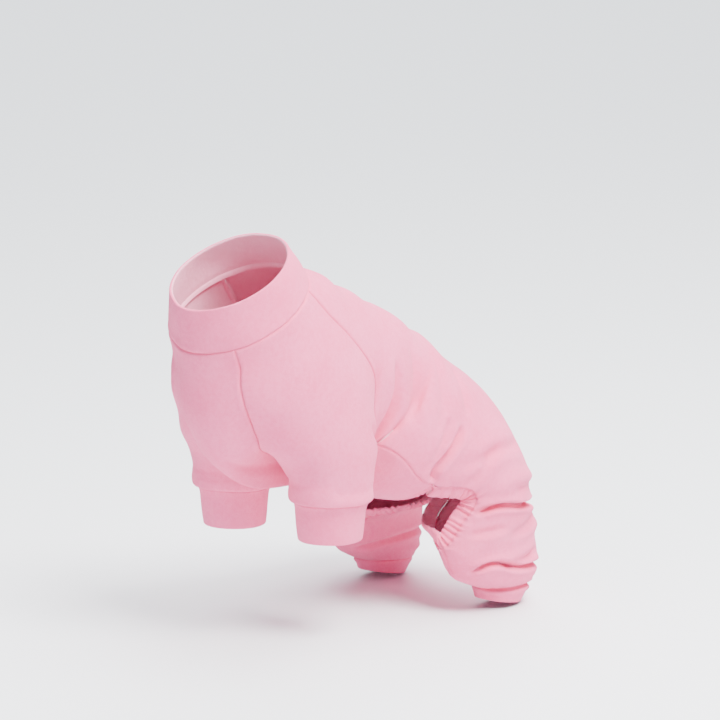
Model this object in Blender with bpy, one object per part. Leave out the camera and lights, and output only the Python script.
"""Jumpsuit for a small sitting pet, held in its worn form.

Every piece is a wall of cloth cut from one surface. The surface is lofted through short
tables of sections, so pieces that are sewn together share their seam. +X is the wearer's
left, -Y its front and +Z up. The origin is where the back rests on the withers.
"""
import math

import bmesh
import bpy
import numpy as np

# Sizes of the worn garment in metres
SEATED_LENGTH = 0.300
SHOULDER_HEIGHT = 0.300
CHEST_WIDTH = 0.150
STRIDE = 0.016
NECK_BAND_HEIGHT = 0.033
CUFF_HEIGHT = 0.032
ANKLE_HEM_HEIGHT = 0.012
SEAT_CASING_WIDTH = 0.012
BELLY_CASING_WIDTH = 0.0065

# Walls and the gap that each seam keeps
CLOTH = 0.0018
BAND_CLOTH = 0.003
SEAM_GAP = 0.0003
TURN_RELIEF = 1.0
TURN_LEAST = 0.4
SHARP_ANGLE = 50.0

# Folds and gathers
ROLL_DEPTH = 0.0042
CREASE_DEPTH = 0.0050
GATHER_DEPTH = 0.0007
GATHER_PITCH = 0.0056

# Where folds fade out: rows from the first and last row, and shares of a row at its ends
FADE_FIRST_ROWS = 1.5
FADE_LAST_ROWS = 0.8
FADE_SHARE = 1 / 6

# The last share of a row over which the spine is brought to the middle
SPINE_SHARE = 0.25

# Rows of the tables where pieces meet, and the row that rests on the withers
WITHERS = 2
ARMPIT = 7
HEM_CORNER = 12
TAIL = 16
INSEAM = 19
ANKLE = 23

# Cells along one table row and cells round each piece
ROW_STEPS = 2
ARMPIT_ROWS = 3
UNDER_CELLS = 5
SLEEVE_CELLS = 14
BACK_CELLS = 10

# Sleeve sections from the collar seam to the cuff seam. Places and half widths are shares:
# x and half_x of CHEST_WIDTH, y and half_y of SEATED_LENGTH, z of SHOULDER_HEIGHT. tilt
# turns the section up at its rear. start and end are the angles of the front and rear
# raglan seams, from straight ahead round the outer side. step is the share of STRIDE.
SLEEVE_SECTIONS = (
    # x, y, z, half_x, half_y, tilt, start, end, step
    (0.000, -0.163, 0.893, 0.400, 0.193, 30, 38, 125, 0),
    (0.047, -0.113, 0.833, 0.380, 0.213, 22, 33, 122, 0),
    (0.093, -0.073, 0.767, 0.373, 0.235, 12, 25, 128, 0.15),
    (0.147, -0.040, 0.683, 0.353, 0.243, 5, 18, 138, 0.3),
    (0.187, -0.030, 0.600, 0.333, 0.203, 0, 6, 140, 0.5),
    (0.240, -0.022, 0.540, 0.287, 0.177, 0, -12, 158, 0.7),
    (0.290, -0.010, 0.487, 0.243, 0.142, 0, -76, 190, 0.9),
    (0.313, -0.008, 0.437, 0.220, 0.118, 0, -155, 205, 1),
    (0.317, -0.008, 0.413, 0.220, 0.117, 0, -155, 205, 1),
    (0.317, -0.007, 0.393, 0.227, 0.118, 0, -155, 205, 1),
    (0.317, -0.007, 0.378, 0.220, 0.115, 0, -155, 205, 1),
    (0.317, -0.007, 0.370, 0.200, 0.103, 0, -155, 205, 1),
)

# Back sections from the collar seam over the spine and down a hind leg, as shares again.
# start is the angle of the front edge from below, end the angle of the spine or inner edge.
BACK_SECTIONS = (
    # x, y, z, half_x, half_y, tilt, start, end
    (0.000, -0.163, 0.893, 0.400, 0.193, 30, 125, 180),
    (0.000, -0.073, 0.820, 0.413, 0.220, 40, 114, 180),
    (0.000, -0.010, 0.750, 0.427, 0.233, 50, 111, 180),
    (0.000, 0.080, 0.693, 0.440, 0.243, 59, 102, 180),
    (0.000, 0.160, 0.635, 0.453, 0.253, 66, 86, 180),
    (0.000, 0.203, 0.607, 0.460, 0.263, 64, 76, 180),
    (0.000, 0.250, 0.587, 0.460, 0.257, 61, 64, 180),
    (0.000, 0.297, 0.573, 0.460, 0.233, 58, 58, 180),
    (0.000, 0.310, 0.558, 0.467, 0.243, 55, 63, 180),
    (0.000, 0.303, 0.538, 0.480, 0.267, 51, 60, 180),
    (0.000, 0.347, 0.507, 0.500, 0.260, 47, 60, 180),
    (0.000, 0.397, 0.483, 0.513, 0.250, 46, 58, 180),
    (0.000, 0.447, 0.453, 0.527, 0.243, 45, 56, 180),
    (0.000, 0.517, 0.413, 0.573, 0.220, 40, 62, 180),
    (0.053, 0.563, 0.367, 0.553, 0.190, 27, 58, 186),
    (0.160, 0.587, 0.313, 0.453, 0.183, 12, 50, 202),
    (0.253, 0.577, 0.267, 0.347, 0.180, 6, 42, 227),
    (0.333, 0.573, 0.233, 0.267, 0.180, 4, 32, 266),
    (0.393, 0.567, 0.210, 0.213, 0.173, 4, 18, 310),
    (0.427, 0.563, 0.187, 0.187, 0.172, 4, 0, 360),
    (0.440, 0.573, 0.143, 0.187, 0.163, 3, 0, 360),
    (0.447, 0.583, 0.100, 0.180, 0.150, 2, 0, 360),
    (0.450, 0.595, 0.067, 0.163, 0.123, -2, 0, 360),
    (0.453, 0.610, 0.042, 0.140, 0.093, -5, 0, 360),
)

# Middle line of the under panel, one row for each sleeve row down to the armpit and then
# one for each back row to the belly hem. rise bends the panel up towards its side edges.
UNDER_MIDDLE = (
    # y, z, rise
    (-0.331, 0.797, 2),
    (-0.330, 0.740, 2),
    (-0.327, 0.683, 2),
    (-0.317, 0.623, 2),
    (-0.293, 0.553, 2),
    (-0.233, 0.473, 2),
    (-0.113, 0.400, 1.8),
    (0.137, 0.373, 1.5),
    (0.157, 0.367, 1.7),
    (0.183, 0.357, 1.9),
    (0.213, 0.340, 2.2),
    (0.267, 0.320, 2.4),
    (0.327, 0.300, 2.4),
)

# Side seam between the under panel and the back panel, after the armpit
SIDE_SEAM = (
    # x, y, z
    (0.267, 0.177, 0.473),
    (0.333, 0.203, 0.490),
    (0.400, 0.253, 0.450),
    (0.420, 0.307, 0.387),
    (0.440, 0.350, 0.363),
)

# Folds of the back and legs. row and share place the middle of a fold, reach is its half
# width in rows, span its half length as a share of the row, slope its rows for each share.
BACK_FOLDS = (
    # row, share, reach, span, slope, depth
    (7.4, 0.42, 0.50, 0.20, 0.6, -0.9 * CREASE_DEPTH),
    (12.9, 0.25, 0.40, 0.20, -0.8, -CREASE_DEPTH),
    (9.6, 0.45, 0.50, 0.30, 0.5, -0.4 * CREASE_DEPTH),
    (10.9, 0.50, 0.50, 0.32, 0.3, -0.4 * CREASE_DEPTH),
    (15.6, 0.40, 0.55, 0.34, 0.5, -1.1 * ROLL_DEPTH),
    (17.3, 0.42, 0.50, 0.30, 0.4, -ROLL_DEPTH),
    (19.4, 0.40, 0.70, 0.40, 0.0, 0.7 * ROLL_DEPTH),
    (21.0, 0.45, 0.50, 0.45, 0.3, -1.2 * ROLL_DEPTH),
    (22.1, 0.45, 0.50, 0.45, 0.0, 0.6 * ROLL_DEPTH),
)
SLEEVE_FOLDS = (
    # row, share, reach, span, slope, depth
    (6.2, 0.18, 0.70, 0.10, -3.0, -0.4 * CREASE_DEPTH),
    (9.0, 0.30, 0.80, 0.20, 0.5, 0.3 * CREASE_DEPTH),
)

# Shape of the bands
NECK_LEAN = 18.0
NECK_TAPER = 0.86
NECK_BULGE = 0.012
NECK_BAND_ROWS = 2
CUFF_PROFILE = (
    # drop as a share of CUFF_HEIGHT, width as a share of the seam
    (0.07, 0.950),
    (0.50, 0.905),
    (1.00, 0.850),
)
ANKLE_LEAN = 13.0
ANKLE_TAPER = 0.20
CASING_CROWN = 0.0006
SMOOTHING_PASSES = 3

PINK = (0.80, 0.42, 0.54, 1.0)


def clear_scene():
    for thing in list(bpy.data.objects):
        bpy.data.objects.remove(thing, do_unlink=True)


def read_row(table, row):
    """A smooth curve through the table's rows, read at any place between them."""
    last = len(table) - 1
    first = min(int(math.floor(row)), last - 1)
    share = row - first
    near = [np.array(table[min(max(first + step, 0), last)], float) for step in (-1, 0, 1, 2)]
    slope_a = (near[2] - near[0]) / (2 if first > 0 else 1)
    slope_b = (near[3] - near[1]) / (2 if first + 2 <= last else 1)
    square, cube = share ** 2, share ** 3
    return ((2 * cube - 3 * square + 1) * near[1] + (cube - 2 * square + share) * slope_a
            + (3 * square - 2 * cube) * near[2] + (cube - square) * slope_b)


def place(x, y, z):
    return np.array([x * CHEST_WIDTH, y * SEATED_LENGTH, z * SHOULDER_HEIGHT])


def section_point(section, angle, forward=0.0):
    """A point of an elliptical section, at an angle from its front or under side."""
    x, y, z, half_x, half_y, tilt = section[:6]
    turn, lean = math.radians(angle), math.radians(tilt)
    across = half_x * CHEST_WIDTH * math.sin(turn)
    along = -half_y * SEATED_LENGTH * math.cos(turn)
    centre = place(x, y, z) + np.array([0.0, forward, 0.0])
    return centre + np.array([across, along * math.cos(lean), along * math.sin(lean)])


def smooth_step(value):
    value = min(max(value, 0.0), 1.0)
    return value * value * (3 - 2 * value)


def sleeve_point(row, share, stride):
    """Share 0 is the front raglan seam and share 1 the rear one."""
    section = read_row(SLEEVE_SECTIONS, row)
    start, end, step = section[6:9]
    if row >= ARMPIT:
        start, end = SLEEVE_SECTIONS[ARMPIT][6:8]
    return section_point(section, start + (end - start) * share, step * stride / 2)


def side_edge(row, stride):
    """The edge that the back panel shares with the sleeve and then the under panel."""
    if row <= ARMPIT:
        return sleeve_point(row, 1.0, stride)
    armpit = sleeve_point(ARMPIT, 1.0, stride)
    scale = place(1.0, 1.0, 1.0)
    return read_row([armpit / scale, *SIDE_SEAM], row - ARMPIT) * scale


def under_edge(row, stride):
    if row <= ARMPIT:
        return sleeve_point(row, 0.0, stride)
    return side_edge(row, stride)


def under_point(row, share, stride):
    """Share 0 is the middle line and share 1 the panel's side edge."""
    y, z, rise = read_row(UNDER_MIDDLE, row)
    middle = place(0.0, y, z)
    edge = under_edge(row, stride)
    point = middle + (edge - middle) * share ** rise
    point[0] = edge[0] * share
    return point


def back_point(row, share, stride):
    """Share 0 is the front edge and share 1 the spine, or the inner edge past the tail."""
    section = read_row(BACK_SECTIONS, row)
    start, end = section[6:8]
    if row >= INSEAM:
        start, end = 0.0, 360.0
    point = section_point(section, start + (end - start) * share)
    if row <= HEM_CORNER:
        miss = side_edge(row, stride) - section_point(section, start)
        point = point + miss * (1 - share) ** 2
    if row <= TAIL:
        point[0] -= section_point(section, end)[0] * smooth_step((share - 1) / SPINE_SHARE + 1)
    return point


def rows_between(first, last, steps=ROW_STEPS):
    """Evenly spaced rows, twice as close where the raglan seams run in to the armpit."""
    count = int(round((last - first) * steps))
    rows = [first + (last - first) * index / count for index in range(count + 1)]
    extra = [ARMPIT - (2 * index + 1) / (2 * steps) for index in range(ARMPIT_ROWS)]
    return sorted(rows + extra)


def line_of(row, steps=ROW_STEPS):
    """The index of a whole row in the rows of a panel."""
    return row * steps + sum(1 for index in range(ARMPIT_ROWS)
                             if ARMPIT - (2 * index + 1) / (2 * steps) < row)


def grid_of(point_at, rows, cells, stride):
    """Points for each row, from share 0 to share 1."""
    return np.array([[point_at(row, cell / cells, stride) for cell in range(cells + 1)]
                     for row in rows])


def mirrored(grid):
    """The same grid on the wearer's right, with its order turned so it still faces out."""
    return grid[:, ::-1] * np.array([-1.0, 1.0, 1.0])


class Surface:
    """All the cloth as one welded surface, with each face named for its piece."""

    def __init__(self):
        self.points = []
        self.index = {}
        self.faces = {}

    def add_point(self, point):
        key = tuple(int(round(value * 1e6)) for value in point)
        if key not in self.index:
            self.index[key] = len(self.points)
            self.points.append(np.array(point, float))
        return self.index[key]

    def add_grid(self, piece, grid):
        ids = [[self.add_point(point) for point in line] for line in grid]
        faces = self.faces.setdefault(piece, [])
        for upper, lower in zip(ids[:-1], ids[1:]):
            for cell in range(len(upper) - 1):
                corners = (upper[cell], lower[cell], lower[cell + 1], upper[cell + 1])
                kept = [corner for turn, corner in enumerate(corners)
                        if corner != corners[turn - 1]]
                if len(kept) > 2:
                    faces.append(tuple(kept))

    def normals(self):
        """One normal for each point, which halves the turn between pieces that meet."""
        shared = np.zeros((len(self.points), 3))
        for faces in self.faces.values():
            own = np.zeros((len(self.points), 3))
            for face in faces:
                corners = [self.points[corner] for corner in face]
                own[list(face)] += np.cross(corners[2] - corners[0], corners[-1] - corners[1])
            shared += unit_rows(own)
        return unit_rows(shared)


def unit_rows(vectors):
    return vectors / np.maximum(np.linalg.norm(vectors, axis=1), 1e-12)[:, None]


def boundary_edges(faces):
    """Edges that only one face uses, in that face's order."""
    seen = {}
    for face in faces:
        for turn, corner in enumerate(face):
            edge = (face[turn - 1], corner)
            if edge[::-1] in seen:
                del seen[edge[::-1]]
            else:
                seen[edge] = True
    return list(seen)


def wall_from(name, points, normals, faces, thickness, material):
    """A closed wall of cloth, drawn back from its seams by half the seam gap.

    Where the cloth turns sharply at a seam it is drawn back a little more.
    """
    own = {}
    for face in faces:
        lead = np.cross(points[face[2]] - points[face[0]], points[face[-1]] - points[face[1]])
        for corner in face:
            own[corner] = own.get(corner, 0) + lead
    edges = boundary_edges(faces)
    inset = {}
    for first, second in edges:
        run = points[second] - points[first]
        run = run / max(np.linalg.norm(run), 1e-9)
        for corner in (first, second):
            inward = np.cross(own[corner], run)
            inset.setdefault(corner, []).append(inward / max(np.linalg.norm(inward), 1e-9))
    moved = {}
    for corner, directions in inset.items():
        total = np.sum(directions, axis=0)
        size = np.linalg.norm(total) / len(directions)
        unit = total / max(np.linalg.norm(total), 1e-9)
        lead = normals[corner] / np.linalg.norm(normals[corner])
        level = np.dot(own[corner], lead) / np.linalg.norm(own[corner])
        relief = TURN_RELIEF * max(0.0, 1 - level) * thickness
        moved[corner] = unit * (SEAM_GAP / 2 / max(size, TURN_LEAST) + relief)
    used = sorted({corner for face in faces for corner in face})
    mesh = bmesh.new()
    outer, inner = {}, {}
    for corner in used:
        point = points[corner] + moved.get(corner, np.zeros(3))
        outer[corner] = mesh.verts.new(point)
        inner[corner] = mesh.verts.new(point - normals[corner] * thickness)
    for face in faces:
        mesh.faces.new([outer[corner] for corner in face])
        mesh.faces.new([inner[corner] for corner in reversed(face)])
    for first, second in edges:
        if tuple(points[first]) < tuple(points[second]):
            mesh.faces.new([outer[second], outer[first], inner[second]])
            mesh.faces.new([outer[first], inner[first], inner[second]])
        else:
            mesh.faces.new([outer[second], outer[first], inner[first]])
            mesh.faces.new([outer[second], inner[first], inner[second]])
    data = bpy.data.meshes.new(name)
    mesh.to_mesh(data)
    mesh.free()
    data.shade_smooth()
    data.set_sharp_from_angle(angle=math.radians(SHARP_ANGLE))
    data.materials.append(material)
    thing = bpy.data.objects.new(name, data)
    bpy.context.collection.objects.link(thing)
    return thing


def fold_offset(folds, row, share, closed):
    """How far the folds of a table move the cloth out at one place."""
    total = 0.0
    for middle_row, middle_share, reach, span, slope, depth in folds:
        away = share - middle_share
        if closed:
            away -= round(away)
        across = (row - middle_row - slope * away) / reach
        total += depth * math.exp(-across ** 2) * math.exp(-(away / span) ** 4)
    return total


def folded(grid, rows, folds, closed_from, spine_to=0):
    """Moves a grid out and in along its own normals, fading to nothing at its open edges."""
    down = np.gradient(grid, axis=0)
    over = np.gradient(grid, axis=1)
    closed_rows = [index for index, row in enumerate(rows) if row >= closed_from]
    for index in closed_rows:
        wrap = (grid[index, 1] - grid[index, -2]) / 2
        over[index, 0] = over[index, -1] = wrap
    lift = np.cross(down, over)
    lift /= np.maximum(np.linalg.norm(lift, axis=2), 1e-9)[:, :, None]
    result = grid.copy()
    cells = grid.shape[1] - 1
    for index, row in enumerate(rows):
        closed = row >= closed_from
        ends = smooth_step(row / FADE_FIRST_ROWS)
        ends *= smooth_step((rows[-1] - row) / FADE_LAST_ROWS)
        for cell in range(cells + 1):
            share = cell / cells
            edge = smooth_step(share / FADE_SHARE)
            if row > spine_to:
                edge *= smooth_step((1 - share) / FADE_SHARE)
            edge = max(edge, smooth_step((row - closed_from) / FADE_FIRST_ROWS))
            move = lift[index, cell] * fold_offset(folds, row, share, closed) * edge * ends
            if row <= spine_to and cell == cells:
                move[0] = 0.0
            result[index, cell] += move
    return result


def band_ring(ring, section, grown):
    """Points of a section at the same angles as a ring of another section."""
    x, y, z, half_x, half_y, tilt = grown[:6]
    lean = math.radians(tilt)
    line = []
    for point in ring:
        offset = point - place(*section[:3])
        base_lean = math.radians(section[5])
        along = offset[1] * math.cos(base_lean) + offset[2] * math.sin(base_lean)
        turn = math.atan2(offset[0] / (section[3] * CHEST_WIDTH),
                          -along / (section[4] * SEATED_LENGTH))
        line.append(section_point(grown, math.degrees(turn)))
    return np.array(line)


def ring_between(low, high, share, bulge):
    """A ring part of the way between two rings, moved out from their middle."""
    ring = low + (high - low) * share
    middle = ring.mean(axis=0)
    return middle + (ring - middle) * (1 + bulge * math.sin(math.pi * share))


def strip_directions(surface, normals, path, inside):
    """Directions that carry the cloth on past an edge, level with its surface."""
    points = np.array([surface.points[corner] for corner in path])
    runs = np.gradient(points, axis=0)
    directions = np.cross(normals[path], runs)
    directions /= np.linalg.norm(directions, axis=1)[:, None]
    if np.dot(directions[0], points[0] - inside) < 0:
        directions = -directions
    for _ in range(SMOOTHING_PASSES):
        middle = (directions[:-2] + 2 * directions[1:-1] + directions[2:]) / 4
        directions[1:-1] = middle / np.linalg.norm(middle, axis=1)[:, None]
    return directions


def gathered_strip(name, surface, normals, path, directions, width, material):
    """A casing of doubled cloth on an edge, rippled where its elastic draws it in."""
    rows = ([], [], [])
    leads = []
    wave = 0
    for place_on_path in range(len(path) - 1):
        first, second = path[place_on_path:place_on_path + 2]
        run = np.linalg.norm(surface.points[second] - surface.points[first])
        ripples = max(1, int(round(2 * run / GATHER_PITCH)))
        for step in range(ripples + (place_on_path == len(path) - 2)):
            share = step / ripples
            mix = np.array([1 - share, share])
            point = mix @ np.array([surface.points[first], surface.points[second]])
            lead = mix @ normals[[first, second]]
            away = mix @ directions[place_on_path:place_on_path + 2]
            away /= np.linalg.norm(away)
            ripple = lead * GATHER_DEPTH * (0.5 if wave % 2 else -0.5)
            rows[0].append(point)
            rows[1].append(point + away * width * 0.5 + ripple + lead * CASING_CROWN)
            rows[2].append(point + away * width + ripple)
            leads.append(lead)
            wave += 1
    count = len(leads)
    points = np.array(rows[0] + rows[1] + rows[2])
    strip_normals = np.array(leads * 3)
    faces = []
    for row in (0, 1):
        for step in range(count - 1):
            corner = row * count + step
            faces.append((corner, corner + count, corner + count + 1, corner + 1))
    corners = points[list(faces[0])]
    if np.dot(np.cross(corners[2] - corners[0], corners[3] - corners[1]), leads[0]) < 0:
        faces = [tuple(reversed(face)) for face in faces]
    return wall_from(name, points, strip_normals, faces, BAND_CLOTH, material)


def fleece(name, colour):
    material = bpy.data.materials.new(name)
    material.use_nodes = True
    shader = material.node_tree.nodes["Principled BSDF"]
    shader.inputs["Base Color"].default_value = colour
    shader.inputs["Roughness"].default_value = 0.9
    shader.inputs["Metallic"].default_value = 0.0
    return material


def panel_grids():
    """The grids of every panel of single cloth, by piece and side."""
    grids = {}
    under_rows = rows_between(0, HEM_CORNER)
    sleeve_rows = rows_between(0, len(SLEEVE_SECTIONS) - 1)
    back_rows = rows_between(0, ANKLE)
    for side, stride in (("left", STRIDE), ("right", -STRIDE)):
        turn = mirrored if side == "right" else np.array
        sleeve = grid_of(sleeve_point, sleeve_rows, SLEEVE_CELLS, stride)
        sleeve_closed = folded(sleeve, sleeve_rows, SLEEVE_FOLDS, ARMPIT)
        back = grid_of(back_point, back_rows, BACK_CELLS, stride)
        back = folded(back, back_rows, BACK_FOLDS, INSEAM, TAIL)
        grids["under", side] = turn(grid_of(under_point, under_rows, UNDER_CELLS, stride))
        grids["sleeve", side] = turn(sleeve_closed)
        grids["back", side] = turn(back)
    return grids


def collar_ring(grids):
    """The whole collar seam, from straight ahead round the wearer's left."""
    order = [("under", "left"), ("sleeve", "left"), ("back", "left"),
             ("back", "right"), ("sleeve", "right"), ("under", "right")]
    ring = []
    for key in order:
        ring.extend(grids[key][0][:-1])
    ring.append(ring[0])
    return np.array(ring)


def add_neck_band(surface, grids):
    base = SLEEVE_SECTIONS[0]
    lean = math.radians(NECK_LEAN)
    top_y = base[1] - NECK_BAND_HEIGHT * math.sin(lean) / SEATED_LENGTH
    top_z = base[2] + NECK_BAND_HEIGHT * math.cos(lean) / SHOULDER_HEIGHT
    top = (0.0, top_y, top_z, base[3] * NECK_TAPER, base[4] * NECK_TAPER, base[5])
    low = collar_ring(grids)
    high = band_ring(low, base, top)
    shares = [1 - step / NECK_BAND_ROWS for step in range(NECK_BAND_ROWS + 1)]
    rings = [ring_between(low, high, share, NECK_BULGE) for share in shares[:-1]]
    surface.add_grid("neck_band", np.array(rings + [low]))


def add_cuff(surface, side, ring):
    """A smooth band under the sleeve, drawn in where the sleeve balloons over it."""
    middle = ring[:-1].mean(axis=0)
    rings = [ring]
    for drop, width in CUFF_PROFILE:
        shift = np.array([0.0, 0.0, -CUFF_HEIGHT * drop])
        rings.append(middle + (ring - middle) * width + shift)
    surface.add_grid("cuff_" + side, np.array(rings))


def add_ankle_hem(surface, side, ring):
    middle = ring[:-1].mean(axis=0)
    shift = np.array([0.0, -math.sin(math.radians(ANKLE_LEAN)), -1.0]) * ANKLE_HEM_HEIGHT
    lean = ANKLE_HEM_HEIGHT * math.tan(math.radians(ANKLE_LEAN))
    rings = [ring]
    for drop in (0.5, 1.0):
        offset = (ring - middle) * (1 - ANKLE_TAPER * drop)
        rise = -offset[:, 1:2] / np.abs(offset[:, 1]).max() * lean * drop
        tilted = offset + np.hstack([np.zeros((len(ring), 2)), rise])
        rings.append(middle + tilted + shift * drop)
    surface.add_grid("ankle_hem_" + side, np.array(rings))


def edge_path(surface, points):
    path = []
    for point in points:
        corner = surface.add_point(point)
        if not path or path[-1] != corner:
            path.append(corner)
    return path


def main():
    clear_scene()
    grids = panel_grids()
    surface = Surface()
    for side in ("left", "right"):
        surface.add_grid("under_panel", grids["under", side])
        surface.add_grid("sleeve_" + side, grids["sleeve", side])
        surface.add_grid("back_panel", grids["back", side])
        add_cuff(surface, side, grids["sleeve", side][-1])
        add_ankle_hem(surface, side, grids["back", side][-1])
    add_neck_band(surface, grids)

    withers = grids["back", "left"][line_of(WITHERS), -1].copy()
    left, right = grids["back", "left"], grids["back", "right"]
    corner, tail, inseam = (line_of(row) for row in (HEM_CORNER, TAIL, INSEAM))
    seat = edge_path(surface, [*left[corner:inseam + 1, 0], *left[tail:inseam, -1][::-1],
                               *right[tail:inseam + 1, 0], *right[corner:inseam, -1][::-1]])
    hem = edge_path(surface, [*grids["under", "left"][-1][::-1], *grids["under", "right"][-1][::-1]])

    normals = surface.normals()
    seat_away = strip_directions(surface, normals, seat, left[corner, 1])
    hem_away = strip_directions(surface, normals, hem, grids["under", "left"][-2, -1])
    for seat_end, hem_end in ((0, 0), (-1, -1)):
        shared = seat_away[seat_end] + hem_away[hem_end]
        seat_away[seat_end] = hem_away[hem_end] = shared / np.linalg.norm(shared)
    surface.points = [point - withers for point in surface.points]

    main_pink = fleece("pink_fleece", PINK)
    band_pink = fleece("pink_band", PINK)
    doubled = ("neck_band", "cuff_left", "cuff_right", "ankle_hem_left", "ankle_hem_right")
    for piece, faces in surface.faces.items():
        thickness = BAND_CLOTH if piece in doubled else CLOTH
        material = band_pink if piece in doubled else main_pink
        wall_from(piece, surface.points, normals, faces, thickness, material)
    gathered_strip("seat_casing", surface, normals, seat, seat_away, SEAT_CASING_WIDTH, band_pink)
    gathered_strip("belly_casing", surface, normals, hem, hem_away, BELLY_CASING_WIDTH, band_pink)


main()
